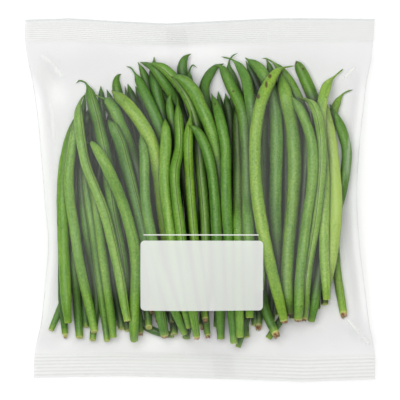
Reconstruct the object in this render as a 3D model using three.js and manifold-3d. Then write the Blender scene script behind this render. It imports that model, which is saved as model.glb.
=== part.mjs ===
// Fresh fine green beans lying together, tails all one way, in a clear pillow bag that rests on its back.
// Millimetres. +X runs across the bag, +Y from the stem ends to the tails, +Z up from the table.
// Each bean is a tapered pod swept along its own curve and laid on the beans below it. The bag is one
// film tube, crimped flat at both ends, with a wall that follows the tops of the beans.
import * as THREE from "three";
import { mergeVertices } from "three/addons/utils/BufferGeometryUtils.js";
import Module from "manifold-3d";

const wasm = await Module();
wasm.setup();

// ---- driving dimensions ----
const FILM = 0.6; // wall of the bag
const GAP = 0.35; // air kept between any two pieces
const BAG_TOP = 105; // the crimped edge beyond the tails
const BAG_BOTTOM = -105; // the crimped edge beyond the stem ends
const TOP_CRIMP = 12.5; // length of the crimped band at each end
const BOTTOM_CRIMP = 14;
const CRIMP_RIBS = 4; // ribs pressed across each band
const RIB = 0.35; // how far a rib stands out
const SEAL_HEIGHT = 6; // both bands lie a little above the table
const SIDE_HEIGHT = 8; // the bag is widest this high above the table
const END_SLOPE = 26; // length over which the back rises to each band
const VENT = 5; // width of the breathing holes in the back
const VENT_PLACES = [[-45, 50], [45, 50], [-45, -50], [45, -50]];
const SEAM_FLAP = 6; // the back seam's flap lies flat, with its free edge this far from the middle
const SEAM_LINE = 0.25; // depth and width of the line along that free edge
const SEAM_LENGTH = 120; // the stretch of it that lies on the table
const POD_SIDES = 7;

// Left and right edge of the bag against y, from the bottom edge to the top edge: [y, left, right].
const OUTLINE = [
  [-105, -96, 101],
  [-90, -95.5, 101],
  [-70, -91.5, 97.5],
  [-50, -89.5, 95],
  [-25, -87.5, 92],
  [0, -89.5, 90.5],
  [25, -91.5, 91.5],
  [50, -94, 94],
  [70, -97, 96.5],
  [82, -99.5, 99],
  [92, -101, 100],
  [105, -101, 101],
];
// How far each crimped edge is drawn in along its length: [x, top edge, bottom edge].
const EDGES = [
  [-101, 0.8, 2.2],
  [-75, 0, 2.8],
  [-45, 1.8, 3.2],
  [-20, 3, 2.6],
  [10, 1.6, 1.8],
  [40, 0.2, 0.8],
  [60, 0, 0],
  [101, 0.4, 1.5],
];

// One row a bean, in the order in which they are laid, lowest first:
// thickness, then x, y of points along it from the tip of the tail to the stem end.
const BEANS = [
  [5.5, 14.7, 62, 17.5, 46, 18, 23, 16.4, 0, 14.7, -29, 12.4, -57.5],
  [5.2, -61.8, 50.6, -60.5, 34.5, -59.5, 17.3, -57.2, 0, -54.3, -23, -51, -46],
  [4.9, -53, 43, -59.5, 7.5, -71, -37.5, -86, -75],
  [5.2, -70, 50.5, -78, 21.5, -79.5, -15, -79, -53, -78, -77],
  [5.2, -63.5, 55, -71, 20, -72.5, -28.5, -69.5, -79],
  [4.9, -51, 55, -54.5, 20, -52.5, -26, -45.5, -74],
  [4.6, -53, 34.5, -49, -6, -44.5, -46, -40, -61.5, -33, -72, -24.5, -76.5, -16, -78],
  [5.2, -58, 53.5, -54.5, 53.5, -51, 49.5, -48, 36, -42.5, -6, -37.5, -51.5, -35, -76],
  [6, -45.5, 73, -47.5, 72, -48.5, 69, -48, 64, -41.5, 40, -35.5, -6, -29.5, -73],
  [5.2, -42, 67.5, -37.5, 54, -29, 8.5, -25, -43, -24, -68],
  [5.5, -36, 80, -32, 71.5, -24.5, 37.5, -18, -14.5, -15, -77],
  [6.3, -26.5, 83, -26.5, 71.5, -20, 40, -12.5, -6, -11, -68],
  [6.6, -5, 84.5, -8, 83, -9.5, 80, -10.5, 75.5, -9.5, 68.5, -1, 40, 6, -3, 6, -28.5, 1.5, -72],
  [4.9, -1.5, 76.5, -3, 78, -4.5, 78, -6, 75, -5.5, 68, 4.5, 39.5, 13, -4, 13.5, -28.5, 9.5, -73],
  [5.8, 14, 79, 10, 77.5, 6.5, 74, 3.5, 69, 2.5, 63, 7, 43.5, 18.5, 1.5, 21, -24, 26.5, -79],
  [4.9, 22, 85, 19, 83.5, 17, 80.5, 17, 76, 20, 69, 26, 43, 25.5, -6, 24.5, -54],
  [4.9, 34, 55, 31.5, 17, 32, -34.5, 28.5, -60.5, 22, -84.5],
  [5.2, 36, 62, 37, 23, 37, -26, 34, -72],
  [5.5, 38.5, 82, 41.5, 72, 43.5, 39, 43, -10, 41.5, -69.5],
  [5.5, 47.5, 70, 49.5, 34.5, 50, -5, 48.5, -61],
  [4.9, 52.5, 64.5, 59.5, 31.5, 60.5, 0, 57, -37.5, 51, -62, 39.5, -79.5],
  [5.8, 30, 35.5, 29, 7.5, 32.5, -20, 35.5, -48.5, 38, -65, 43, -76],
  [6.9, 56, 79.5, 61, 69.5, 67, 54.5, 68.5, 42, 67, 4.5, 65.5, -37, 67, -62.5],
  [5.2, 89, 64, 85.5, 63, 82.5, 61, 77.5, 51.5, 75.5, 33.5, 77, -3, 79.5, -41.5, 83, -65],
  [6, 75, 55.5, 79.7, 46, 84.4, 31, 84.5, 22, 80.3, -0.5, 71.5, -29.5, 64.5, -69.5],
  [6.6, 71.5, 59, 71.5, 53.5, 75.5, 33.5, 78, 7, 78, -8.5, 75, -36, 72.5, -50],
  [6.6, -68.5, 51.5, -76, 30, -79, 4, -78.5, -24.5, -76, -70],
  [4.6, -66, 42, -68.5, 11.5, -66, -17, -61, -46, -60, -59, -62, -80.5],
  [6.9, -72, 67.5, -70.5, 69, -68.5, 69, -66, 67.5, -62, 56.5, -53.5, 22, -49.5, -6, -44, -39, -42.5, -61],
  [6.3, -61, 61, -57, 59, -53.5, 57.5, -50.5, 54.5, -43, 37, -36, 16.5, -32, -11.5, -28, -46, -27.5, -62],
  [5.8, -35, 80, -30, 78, -25.5, 75, -18.5, 64, -8, 43.5, -3, 14.5, -2, -4.5, -5, -54, -8, -79.5],
  [5.2, -16, 62, -17.5, 58, -17, 51.5, -11, 25.5, -3, -23.5, 4.5, -77],
  [5.5, -32, 41.5, -26, 7, -20.5, -37.5, -16.5, -70],
  [6.3, -43, 77.5, -40, 76.5, -37.5, 73, -32, 62.5, -21.5, 37, -16.5, 11.5, -12.5, -24.5, -6, -62],
  [7.5, -49, 57.5, -46.5, 58.3, -43, 56, -36, 47.5, -28, 33, -23.5, 14.5, -20, -14.5, -12.5, -59],
  [7.2, -53, 46.5, -48, 38.5, -42.5, 20, -34, -12.5, -27.5, -38, -20.5, -77],
  [5.5, -34, 37.5, -32, 26.5, -31, 0, -26, -26.5, -16, -58, -9, -76],
  [6.3, -20, 47, -19.5, 35, -20, 9, -16, -23.5, -6, -72.5],
  [5.8, -13, 60, -12.5, 47.5, -12, 30, -14.5, 13, -11, -16.5, -5, -59, -2, -77],
  [6.3, -29, 78.5, -25, 77.5, -20, 75, -10.5, 64, -3, 47.5, 1, 12, 3.5, -20, 4, -51.5],
  [5.5, -5, 51.5, -6.5, 35.5, -6, 10.5, -2.5, -30, 3, -67.5],
  [7.2, -16.5, 70.5, -13, 70, -9, 68, -5, 64, 2.5, 49, 9, 30.5, 12, 3, 13, -50.5],
  [6, -7, 43, -4.5, 41.5, -1.5, 39, 4.5, 25.5, 8.5, 1.5, 9.5, -18.5, 12, -80],
  [5.8, 6.5, 61.5, 9.5, 53, 14, 35, 15, 0, 19.5, -82],
  [5.8, 22, 57, 21.5, 31.5, 22, -14.5, 23, -78],
  [6.6, 8.5, 77, 11, 77.5, 13.5, 75, 16.5, 68.5, 24, 53, 26.5, 28.5, 27.5, -23, 28.5, -66.5],
  [6, 12, 83, 16, 82, 19.5, 80.5, 25, 73, 30.5, 46, 33.5, 8.5, 35, -12.5, 34, -50.5],
  [7.2, 26, 82.5, 28.5, 80.5, 32, 78, 38.5, 69, 43, 55, 44, 28.5, 43.5, -11.5, 47.5, -57.5],
  [6, 35.5, 82, 39, 81.5, 43, 79, 50.5, 70, 60.5, 48.5, 62, 38, 60, 3, 57, -37.5, 58, -53],
  [8, 46.5, 74, 48.5, 62.5, 53, 42.5, 54.5, 16.5, 52, -15.5, 49.5, -48.5, 51.5, -64],
  [5.8, 83, 76, 75.5, 69, 70.5, 60.5, 69.5, 45.5, 71.5, 17, 71, -33.5, 72.5, -56.5],
  [5.5, 56, 59, 60, 58, 63, 56, 67.5, 46, 69.5, 23, 67.5, -1, 61, -47, 60, -67.5],
  [5.8, 52, 60, 57, 52.5, 62.5, 39.5, 64, 15, 60.5, -12.5, 56.5, -48.5, 56, -67.5],
  [6.9, 55, 77.5, 51, 77, 47.5, 76, 44.5, 74, 36, 59.5, 31.5, 37.5, 32.5, 1.5, 39.5, -34.5, 48, -68.5],
  [5.2, -67.5, 33.5, -65, 6, -60.5, -24.5, -56.5, -56.5, -54, -81],
  [5.2, -64.5, 24, -59, -7.5, -55, -38, -50, -79],
  [6.3, -63, 34, -57.5, 27, -50, 13, -42, -9, -36.5, -34.5, -37.5, -63, -38, -80.5],
  [5.8, -67, 53.5, -72, 36, -75, 10.5, -71.5, -22, -65, -56.5, -61, -75.5],
  [5.8, -66, 61.5, -68, 59, -69.5, 54.5, -69.5, 47, -65.5, 22.5, -55, -6, -49.5, -27.5, -41.5, -68.5],
];

// Share of a pod's full thickness at each share of its length, from the tip of the tail to the cut stem.
const POD_BODY = [
  [0.22, 0.98],
  [0.32, 1],
  [0.43, 1],
  [0.54, 1],
  [0.65, 0.98],
  [0.76, 0.96],
  [0.86, 0.95],
  [0.95, 0.92],
  [1, 0.84],
];
const SHORT_TAIL = [[0, 0], [0.012, 0.24], [0.03, 0.52], [0.055, 0.8], [0.1, 0.95]];
const SLENDER_TAIL = [[0, 0], [0.02, 0.16], [0.045, 0.28], [0.075, 0.62], [0.12, 0.9]];
const BROKEN_TAIL = [[0, 0], [0.005, 0.5], [0.02, 0.76], [0.05, 0.9], [0.1, 0.97]];
// Numbers of the pods whose tail isn't short.
const SLENDER_PODS = [14, 16, 24, 29, 34, 47, 49, 54, 59];
const BROKEN_PODS = [23, 35];

const BEAN_GREENS = [0x7fa34c, 0x6f9a3e, 0x8fb257, 0x5f8a38, 0x9bbd5c];
const FILM_COLOUR = 0xe6eae6;

// ---- small helpers ----
const clamp = (value, low, high) => Math.min(high, Math.max(low, value));
const smoothstep = (t) => clamp(t, 0, 1) ** 2 * (3 - 2 * clamp(t, 0, 1));

// The value of a table of [key, value, value...] rows at a key, in straight steps between the rows.
function readTable(rows, key, column) {
  const last = rows.length - 1;
  const above = clamp(rows.findIndex((row) => row[0] >= key), 1, last);
  const next = key > rows[last][0] ? rows[last] : rows[above];
  const previous = rows[rows.indexOf(next) - 1];
  const share = clamp((key - previous[0]) / (next[0] - previous[0]), 0, 1);
  return previous[column] + share * (next[column] - previous[column]);
}

function meshOf(points, triangles, material, name) {
  const geometry = new THREE.BufferGeometry();
  geometry.setAttribute("position", new THREE.Float32BufferAttribute(points.flat(), 3));
  geometry.setIndex(triangles.flat());
  geometry.computeVertexNormals();
  const mesh = new THREE.Mesh(geometry, material);
  mesh.name = name;
  return mesh;
}

// Triangles that join rings of equal size, stored one after the other from point `first`, into a tube.
function tubeTriangles(rings, ringSize, first) {
  const triangles = [];
  for (let ring = 0; ring < rings - 1; ring++) {
    for (let k = 0; k < ringSize; k++) {
      const a = first + ring * ringSize + k;
      const b = first + ring * ringSize + ((k + 1) % ringSize);
      triangles.push([a, b + ringSize, b], [a, a + ringSize, b + ringSize]);
    }
  }
  return triangles;
}

// ---- the lie of the bag's back ----
const topSeal = BAG_TOP - TOP_CRIMP;
const bottomSeal = BAG_BOTTOM + BOTTOM_CRIMP;

// The crimped edges aren't straight: a place near a band moves with the edge beyond it.
function edgeShift(x, y) {
  const nearTop = smoothstep((y - topSeal + END_SLOPE) / (TOP_CRIMP + END_SLOPE));
  const nearBottom = smoothstep((bottomSeal + END_SLOPE - y) / (BOTTOM_CRIMP + END_SLOPE));
  return readTable(EDGES, x, 2) * nearBottom - readTable(EDGES, x, 1) * nearTop;
}

// Where a place lay on the bag before its edges were drawn in.
const flatPlace = (x, y) => y - edgeShift(x, y);

// How far along a place is from the flat middle of the bag (0) to either band (1).
function towardBand(y) {
  const toTop = (y - (topSeal - END_SLOPE)) / END_SLOPE;
  const toBottom = (bottomSeal + END_SLOPE - y) / END_SLOPE;
  return clamp(Math.max(toTop, toBottom), 0, 1) ** 2;
}

const sideHeight = (y) => SIDE_HEIGHT + (SEAL_HEIGHT - SIDE_HEIGHT) * towardBand(y);

// Height of the back of the bag over the table: flat in the middle, rising to both bands and both sides.
function backHeight(x, y) {
  const end = (SEAL_HEIGHT - FILM) * towardBand(y);
  const inward = Math.min(x - readTable(OUTLINE, y, 1), readTable(OUTLINE, y, 2) - x);
  const outward = clamp(SIDE_HEIGHT - inward, 0, SIDE_HEIGHT);
  const fold = SIDE_HEIGHT - Math.sqrt(SIDE_HEIGHT ** 2 - outward ** 2);
  return Math.max(end, fold * (1 - towardBand(y)));
}

// ---- the beans ----
const LAY_STEPS = 9; // samples between two rings of a pod at which it is held clear of what is below it
const LAY_ROUNDS = 800;
const LAY_STIFFNESS = 0.05;
const LAY_DROP = 0.1;
const LAY_REACHES = [4, 2, 1]; // a ring is pulled straight between the rings this many places away

function tailOf(number) {
  if (SLENDER_PODS.includes(number)) return SLENDER_TAIL;
  return BROKEN_PODS.includes(number) ? BROKEN_TAIL : SHORT_TAIL;
}

// Rings of a pod, from the tip of its tail: the middle of each in x and y, its radius and its place along.
function podRings(row, number) {
  const profile = [...tailOf(number), ...POD_BODY];
  const points = [];
  for (let k = 1; k < row.length; k += 2) points.push(new THREE.Vector3(row[k], row[k + 1], 0));
  const curve = new THREE.CatmullRomCurve3(points, false, "centripetal");
  return profile.map(([along, thickness]) => {
    const middle = curve.getPointAt(along);
    return { x: middle.x, y: middle.y, radius: (row[0] / 2) * thickness, along: along * curve.getLength() };
  });
}

// Samples between the rings, each with its two rings' shares and the lowest height that its middle may have.
function podSamples(rings, below) {
  const samples = [];
  for (let ring = 0; ring < rings.length - 1; ring++) {
    for (let step = 0; step <= LAY_STEPS; step++) {
      const share = step / LAY_STEPS;
      const between = (key) => rings[ring][key] * (1 - share) + rings[ring + 1][key] * share;
      const sample = { ring, share, x: between("x"), y: between("y"), radius: between("radius") };
      sample.lowest = lowestMiddle(sample, below);
      samples.push(sample);
    }
  }
  return samples;
}

// The lowest height at which a sample clears the bag's back and every pod that is already laid.
function lowestMiddle(sample, below) {
  let lowest = backHeight(sample.x, flatPlace(sample.x, sample.y)) + FILM + GAP + sample.radius;
  for (const other of below) {
    const reach = sample.radius + other.radius + GAP;
    const across = (sample.x - other.x) ** 2 + (sample.y - other.y) ** 2;
    if (across < reach ** 2) lowest = Math.max(lowest, other.z + Math.sqrt(reach ** 2 - across));
  }
  return lowest;
}

// Lets a springy pod down onto what is below it: it bridges hollows instead of following them.
function layPod(row, number, below) {
  const rings = podRings(row, number);
  const samples = podSamples(rings, below);
  const highest = Math.max(...samples.map((sample) => sample.lowest));
  for (const ring of rings) ring.z = highest;
  for (let round = 0; round < LAY_ROUNDS; round++) {
    for (const reach of LAY_REACHES) straighten(rings, reach);
    for (const ring of rings) ring.z -= LAY_DROP;
    liftClear(rings, samples);
  }
  for (const sample of samples) sample.z = heightAt(rings, sample);
  return { rings, samples };
}

function straighten(rings, reach) {
  for (let k = reach; k < rings.length - reach; k++) {
    const before = rings[k - reach];
    const after = rings[k + reach];
    const share = (rings[k].along - before.along) / (after.along - before.along);
    const straight = before.z + share * (after.z - before.z);
    rings[k].z += LAY_STIFFNESS * (straight - rings[k].z);
  }
}

const heightAt = (rings, { ring, share }) => rings[ring].z * (1 - share) + rings[ring + 1].z * share;

function liftClear(rings, samples) {
  for (const sample of samples) {
    const short = sample.lowest - heightAt(rings, sample);
    if (short <= 0) continue;
    const shares = [1 - sample.share, sample.share];
    const scale = short / (shares[0] ** 2 + shares[1] ** 2);
    rings[sample.ring].z += scale * shares[0];
    rings[sample.ring + 1].z += scale * shares[1];
  }
}

function podMesh(rings, index) {
  const middles = rings.map((ring) => new THREE.Vector3(ring.x, ring.y, ring.z));
  const points = [middles[0].toArray()];
  for (let ring = 1; ring < rings.length; ring++) {
    const along = middles[Math.min(ring + 1, rings.length - 1)].clone().sub(middles[ring - 1]).normalize();
    const across = new THREE.Vector3().crossVectors(along, new THREE.Vector3(0, 0, 1)).normalize();
    const up = new THREE.Vector3().crossVectors(across, along);
    for (let side = 0; side < POD_SIDES; side++) {
      const turn = (2 * Math.PI * side) / POD_SIDES;
      const rim = middles[ring].clone();
      rim.addScaledVector(across, rings[ring].radius * Math.cos(turn));
      rim.addScaledVector(up, rings[ring].radius * Math.sin(turn));
      points.push(rim.toArray());
    }
  }
  const triangles = tubeTriangles(rings.length - 1, POD_SIDES, 1);
  const lastRing = points.length - POD_SIDES;
  points.push(middles[middles.length - 1].toArray());
  for (let side = 0; side < POD_SIDES; side++) {
    const next = (side + 1) % POD_SIDES;
    triangles.push([0, 1 + side, 1 + next]);
    triangles.push([points.length - 1, lastRing + next, lastRing + side]);
  }
  const material = new THREE.MeshStandardMaterial({
    color: BEAN_GREENS[index % BEAN_GREENS.length],
    roughness: 0.55,
    metalness: 0,
  });
  return meshOf(points, triangles, material, "bean_" + String(index + 1).padStart(2, "0"));
}

const laid = [];
const pods = BEANS.map((row, index) => {
  const pod = layPod(row, index + 1, laid);
  laid.push(...pod.samples);
  return pod;
});

// ---- the bag ----
const COLUMNS = 18; // panels across the front and across the back
const LOOP_SIZE = 2 * COLUMNS; // points round the bag
const BODY_ROWS = 22; // rows of panels between the bands
const CROWDING = 0.6; // how much closer together those rows are near the bands
const SIDE_WALL = 2; // the cavity keeps this far from the folded sides
const FILM_ROUNDS = 400;
const INFLATION = 0.06; // lifts the front where no bean holds it up
const VENT_SIDES = 12;

// Rows from the bottom edge to the top edge; the rows of a band carry how far their rib stands out.
function bagRows() {
  const steps = 2 * CRIMP_RIBS;
  const rows = [];
  for (let k = 0; k < steps; k++) {
    rows.push({ y: BAG_BOTTOM + (BOTTOM_CRIMP * k) / steps, band: true, rib: RIB * (k % 2) });
  }
  for (let k = 0; k <= BODY_ROWS; k++) {
    const even = k / BODY_ROWS;
    const crowded = (1 - Math.cos(Math.PI * even)) / 2;
    const share = (1 - CROWDING) * even + CROWDING * crowded;
    const band = k === 0 || k === BODY_ROWS;
    rows.push({ y: bottomSeal + (topSeal - bottomSeal) * share, band, rib: 0 });
  }
  for (let k = 1; k <= steps; k++) {
    rows.push({ y: topSeal + (TOP_CRIMP * k) / steps, band: true, rib: RIB * (k % 2) });
  }
  for (const row of rows) {
    row.places = columnPlaces(row.y, 0);
    row.back = row.places.map((x, k) => backStart(row, x, k));
    row.front = row.places.map((x, k) => frontStart(row, k));
  }
  return rows;
}

// Places across a row, close together at the folded sides, drawn in from the sides by an inset.
function columnPlaces(y, inset) {
  const left = readTable(OUTLINE, y, 1) + inset;
  const right = readTable(OUTLINE, y, 2) - inset;
  const places = [];
  for (let k = 0; k <= COLUMNS; k++) {
    places.push((left + right) / 2 - ((right - left) / 2) * Math.cos((Math.PI * k) / COLUMNS));
  }
  return places;
}

const onSide = (column) => column % COLUMNS === 0;

function backStart(row, x, column) {
  if (onSide(column)) return sideHeight(row.y);
  return row.band ? SEAL_HEIGHT - FILM - row.rib : backHeight(x, row.y);
}

function frontStart(row, column) {
  if (onSide(column)) return sideHeight(row.y);
  return row.band ? SEAL_HEIGHT + FILM + row.rib : SIDE_HEIGHT;
}

// A place's panel, as the four corners that carry it, each with its share.
function panelCorners(rows, x, y) {
  const row = rows.findIndex((other) => other.y > y) - 1;
  const along = (y - rows[row].y) / (rows[row + 1].y - rows[row].y);
  const { places } = rows[row];
  const column = places.findIndex((other) => other > x) - 1;
  const across = (x - places[column]) / (places[column + 1] - places[column]);
  return [
    { front: rows[row].front, column, share: (1 - along) * (1 - across) },
    { front: rows[row].front, column: column + 1, share: (1 - along) * across },
    { front: rows[row + 1].front, column, share: along * (1 - across) },
    { front: rows[row + 1].front, column: column + 1, share: along * across },
  ];
}

// Points on top of the beans that the front stays above.
function beanTops(rows) {
  const slant = Math.SQRT1_2;
  const spots = [[0, 0, 1], [slant, 0, slant], [-slant, 0, slant], [0, slant, slant], [0, -slant, slant]];
  const tops = [];
  for (const sample of laid) {
    for (const [aside, ahead, rise] of spots) {
      const x = sample.x + aside * sample.radius;
      const y = flatPlace(x, sample.y + ahead * sample.radius);
      const lowest = sample.z + rise * sample.radius + GAP + FILM;
      tops.push({ corners: panelCorners(rows, x, y), lowest });
    }
  }
  return tops;
}

function liftFront(tops) {
  for (const { corners, lowest } of tops) {
    const height = corners.reduce((sum, { front, column, share }) => sum + front[column] * share, 0);
    if (height >= lowest) continue;
    const scale = (lowest - height) / corners.reduce((sum, { share }) => sum + share ** 2, 0);
    for (const { front, column, share } of corners) front[column] += scale * share;
  }
}

// Draws the front tight over the beans, with a little air under it.
function drapeFront(rows) {
  const tops = beanTops(rows);
  for (let round = 0; round < FILM_ROUNDS; round++) {
    for (let j = 1; j < rows.length - 1; j++) {
      if (rows[j].band) continue;
      const { front } = rows[j];
      for (let k = 1; k < COLUMNS; k++) {
        const around = front[k - 1] + front[k + 1] + rows[j - 1].front[k] + rows[j + 1].front[k];
        front[k] = around / 4 + INFLATION;
      }
    }
    liftFront(tops);
  }
}

// The loop of points round a row: its back from left to right, then its front from right to left.
function loopOf(y, places, back, front) {
  const point = (x, z) => [x, y + edgeShift(x, y), z];
  const under = places.map((x, k) => point(x, back[k]));
  const over = places.map((x, k) => point(x, front[k]));
  return [...under, ...over.slice(1, -1).reverse()];
}

// The loop of the cavity in a row, a film's thickness inside the outer one.
function cavityLoop(row) {
  const places = columnPlaces(row.y, SIDE_WALL);
  const back = places.map((x) => heightAcross(row.places, row.back, x) + FILM);
  const front = places.map((x) => heightAcross(row.places, row.front, x) - FILM);
  for (const side of [0, COLUMNS]) back[side] = (back[side] + front[side]) / 2;
  return loopOf(row.y, places, back, front);
}

const heightAcross = (places, heights, x) => readTable(places.map((place, k) => [place, heights[k]]), x, 1);

// Triangles that close a loop, stored from point number `first`, by joining its back to its front.
function capTriangles(first) {
  const back = (column) => first + column;
  const front = (column) => first + ((LOOP_SIZE - column) % LOOP_SIZE);
  const triangles = [];
  for (let k = 0; k < COLUMNS; k++) {
    if (k < COLUMNS - 1) triangles.push([back(k), back(k + 1), front(k + 1)]);
    if (k > 0) triangles.push([back(k), front(k + 1), front(k)]);
  }
  return triangles;
}

function solidThroughLoops(loops) {
  const walls = tubeTriangles(loops.length, LOOP_SIZE, 0);
  const farCap = capTriangles((loops.length - 1) * LOOP_SIZE).map((corners) => corners.reverse());
  return solidOf(loops.flat(2), [...walls, ...capTriangles(0), ...farCap].flat());
}

function solidOf(coordinates, corners) {
  const vertProperties = new Float32Array(coordinates);
  const triVerts = new Uint32Array(corners);
  return new wasm.Manifold(new wasm.Mesh({ numProp: 3, vertProperties, triVerts }));
}

function solidOfGeometry(geometry) {
  geometry.deleteAttribute("normal");
  geometry.deleteAttribute("uv");
  const merged = mergeVertices(geometry);
  return solidOf(merged.getAttribute("position").array, merged.index.array);
}

// The breathing holes, and the line that the back seam's flap leaves in the underside.
function cutsInBack() {
  const holes = VENT_PLACES.map(([x, y]) => {
    const hole = new THREE.CylinderGeometry(VENT / 2, VENT / 2, 4 * FILM, VENT_SIDES);
    return hole.rotateX(Math.PI / 2).translate(x, y, FILM / 2);
  });
  const line = new THREE.BoxGeometry(SEAM_LINE, SEAM_LENGTH, 2 * SEAM_LINE);
  return [...holes, line.translate(SEAM_FLAP, 0, 0)].map(solidOfGeometry);
}

function bagMesh() {
  const rows = bagRows();
  drapeFront(rows);
  const outside = solidThroughLoops(rows.map((row) => loopOf(row.y, row.places, row.back, row.front)));
  const cavity = solidThroughLoops(rows.filter((row) => !row.band).map(cavityLoop));
  const bag = cutsInBack().reduce((rest, cut) => rest.subtract(cut), outside.subtract(cavity));
  const { vertProperties, triVerts } = bag.getMesh();
  const film = new THREE.MeshStandardMaterial({
    color: FILM_COLOUR,
    roughness: 0.25,
    metalness: 0,
    transparent: true,
    opacity: 0.35,
  });
  return meshOf(Array.from(vertProperties), Array.from(triVerts), film, "film_bag");
}

const bundle = new THREE.Group();
pods.forEach(({ rings }, index) => bundle.add(podMesh(rings, index)));
bundle.add(bagMesh());

export default bundle;
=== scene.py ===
import math

import bmesh
import bpy
import numpy as np
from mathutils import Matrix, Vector, noise
from mathutils.bvhtree import BVHTree


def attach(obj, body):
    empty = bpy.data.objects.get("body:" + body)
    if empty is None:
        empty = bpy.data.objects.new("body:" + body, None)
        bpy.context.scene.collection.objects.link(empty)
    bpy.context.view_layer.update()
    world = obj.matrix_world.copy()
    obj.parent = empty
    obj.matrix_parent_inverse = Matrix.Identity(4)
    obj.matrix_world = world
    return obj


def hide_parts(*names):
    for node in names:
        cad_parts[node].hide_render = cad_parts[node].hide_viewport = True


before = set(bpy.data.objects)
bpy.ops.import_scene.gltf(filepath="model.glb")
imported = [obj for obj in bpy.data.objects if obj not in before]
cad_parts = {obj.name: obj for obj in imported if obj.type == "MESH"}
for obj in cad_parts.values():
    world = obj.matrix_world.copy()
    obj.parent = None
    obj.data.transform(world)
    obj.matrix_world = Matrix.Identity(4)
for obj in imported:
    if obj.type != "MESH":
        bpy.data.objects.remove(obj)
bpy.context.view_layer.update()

MM = 0.001
RNG = np.random.default_rng(57)

# ---- the picture ----
FRAME_WIDTH = 230 * MM  # what the frame takes in across, at the height of the beans
FOCUS_HEIGHT = 12 * MM
LENS = 200  # a long lens, so that the beans keep their places in the frame
SENSOR = 36
FLOOR_HALF, FLOOR_DROP = 4, 0.05 * MM  # the floor lies a little under what rests on it
# How bright the sky is at each angle from straight overhead, in degrees. The film mirrors what is overhead.
SKY = [(0, 0.03), (20, 0.03), (36, 0.25), (52, 0.25), (60, 0.65), (72, 0.65), (90, 0.6)]
# Place, size and power of the soft lamps; the second only gives the beans their sheen.
KEY_PLACE, KEY_SIZE, KEY_POWER = (-0.2, 0.2, 1.5), 1.1, 22.3
SHEEN_PLACE, SHEEN_SIZE, SHEEN_POWER = (-0.3, 0.25, 1.5), 1.2, 50

# ---- the pods ----
BEAN_SIDES = 7  # sides of a bean's solid, which meet in the tip of its tail
POD_RINGS = 90
POD_SIDES = 20
TAIL_SHARE, STEM_SHARE = 0.16, 0.93  # shares of a pod's length where its tail ends and its stem end starts
FULLNESS = 1.05  # a pod's radius over that of its faceted solid
FLATTENING = 0.95  # a pod's thickness between its flat sides over its width from seam to seam
LEAN = 0.6  # how far a pod is turned off its flat side, and twisted along its length, at most, in radians
SEAM_UP_TWIST = 0.15  # share of the twist that is left in a pod with a seam up
NARROWING_START, NARROWING = 0.84, (0.02, 0.26)  # where along it a pod starts to narrow, and by what share
SLANT, KNOT_SLANT = (0.0, 0.5), 0.35  # how slanting the stem end is, and how much more a knotted one is
WANDER = 0.5 * MM  # how far a pod strays sideways from its smooth line
SEED_PITCH = 11 * MM
# How much the radius varies, as shares of it, and where along a pod that starts and ends.
SEED_BULGE, COARSE_UNEVENNESS, FINE_UNEVENNESS = 0.035, 0.1, 0.07
BODY_START, BODY_END = (0.1, 0.22), (0.82, 0.93)
GROOVE_DEPTH, GROOVE_WIDTH = 0.035, 0.16  # the line of a seam, as shares of the radius
LIP_HEIGHT, LIP_PLACE, LIP_WIDTH = 0.012, 0.34, 0.16  # the lip on either side of it
LEAST_RADIUS = 0.02 * MM
JAG = 1.1 * MM  # how uneven the cut end is
# A tail has a thin beak, whose length in millimetres is drawn between two limits, and a shoulder over which
# it widens into the pod. A beak below 0 leaves out the thin end of the shoulder too.
BEAK_RADIUS = 0.45 * MM
LONG_BEAK, SHORT_BEAK, DEEP_BEAK = (4.5, 6), (-1.5, 1), (-3, 0)
SHORT_SHOULDER, LONG_SHOULDER, TAPER = 4 * MM, 8 * MM, 15 * MM
BROKEN_STRETCH = 7 * MM  # a broken tail has no beak, and is straight over this length
# Which beans have which tail, by number. The others have a short beak and shoulder.
LONG_BEAKS = (14, 16, 24, 25, 29, 30, 34, 47, 49, 51, 54)
TAPERED = (25, 39, 41, 51, 52, 57)
BROKEN_TAILS = (23, 35)
# Which beans have which stem end. The others are cut.
STEM_ENDS = {
    "stalk": (40,),
    "knot": (8, 10, 18, 19, 22, 24, 29, 30, 32, 36, 39, 41, 48, 50, 52, 53, 54),
    "stub": (4, 13, 20),
}
# Rings past the end of a pod: how far on in millimetres, share of the end's radius, and how brown.
STEM_RINGS = {
    "cut": [
        (0.2, 1.0, 0.2), (0.5, 0.95, 0.4), (0.6, 0.82, 0.5),
        (0.3, 0.6, 0.4), (0.2, 0.35, 0.5), (0.2, 0.1, 0.6),
    ],
    "knot": [
        (0.3, 1.0, 0.3), (0.9, 0.94, 0.6), (1.6, 0.8, 0.9),
        (2.7, 0.74, 1), (2.4, 0.45, 0.75), (2.1, 0.1, 1),
    ],
    "stub": [
        (0.3, 0.98, 0.2), (0.8, 0.8, 0.4), (1.3, 0.58, 0.6),
        (2.6, 0.52, 0.75), (2.9, 0.4, 1), (2.7, 0.1, 1),
    ],
    "stalk": [
        (0.3, 1.0, 0.2), (0.8, 0.7, 0.7), (2.2, 0.42, 1),
        (5.5, 0.36, 1), (6.0, 0.3, 1), (6.0, 0.08, 1),
    ],
}
# Beans that lie with a seam up, and how far that seam is turned from the top, in radians.
SEAM_UP = {29: 0.2, 36: 0.5, 39: 0.2, 40: -0.3, 41: 0.1, 52: -0.2, 59: 0.6}
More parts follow.
